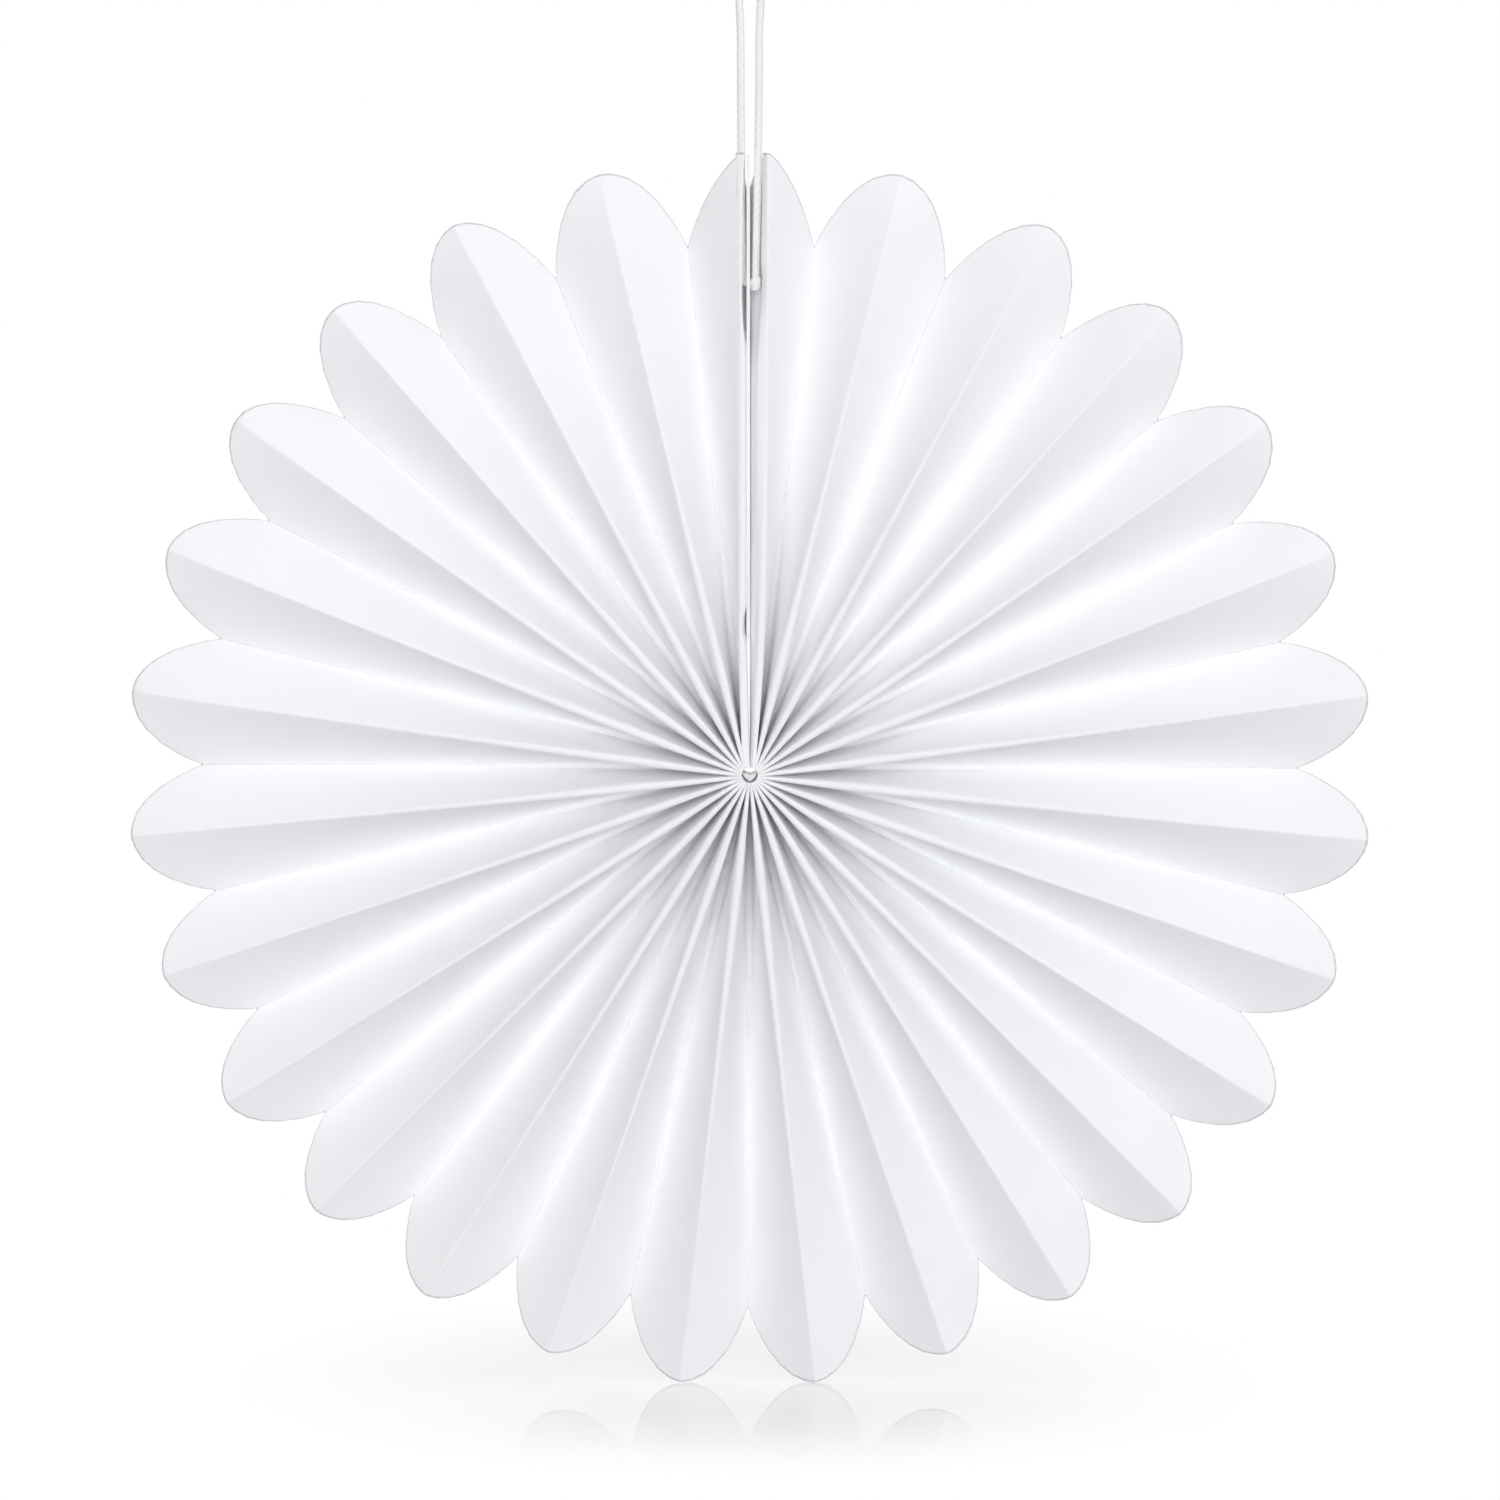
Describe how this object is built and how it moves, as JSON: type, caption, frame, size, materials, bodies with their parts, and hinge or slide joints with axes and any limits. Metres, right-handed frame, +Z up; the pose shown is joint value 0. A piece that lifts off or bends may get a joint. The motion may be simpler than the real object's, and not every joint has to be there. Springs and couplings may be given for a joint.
{
  "type": "paper fan rosette",
  "caption": "Round rosette of pleated white paper with rounded petals, closed by a strip between its end flaps and hung on a doubled cord.",
  "frame": {"origin": "middle of the hub, half way through the depth of the pleats", "axes": "+Z up towards the hanging cord, -Y the front that faces the room, +X to the right seen from the front"},
  "size_m": [0.3977, 0.0274, 0.4825],
  "materials": {
    "white_paper": "matte, uncoated",
    "strip_card": "matte",
    "thread": "twisted cotton thread",
    "cord": "soft twisted cord"
  },
  "bodies": {
    "root": {"pleated_paper": "white_paper", "joining_strip": "strip_card", "centre_thread": "thread", "hanging_cord": "cord", "hanging_knot": "cord"}
  },
  "joints": []
}
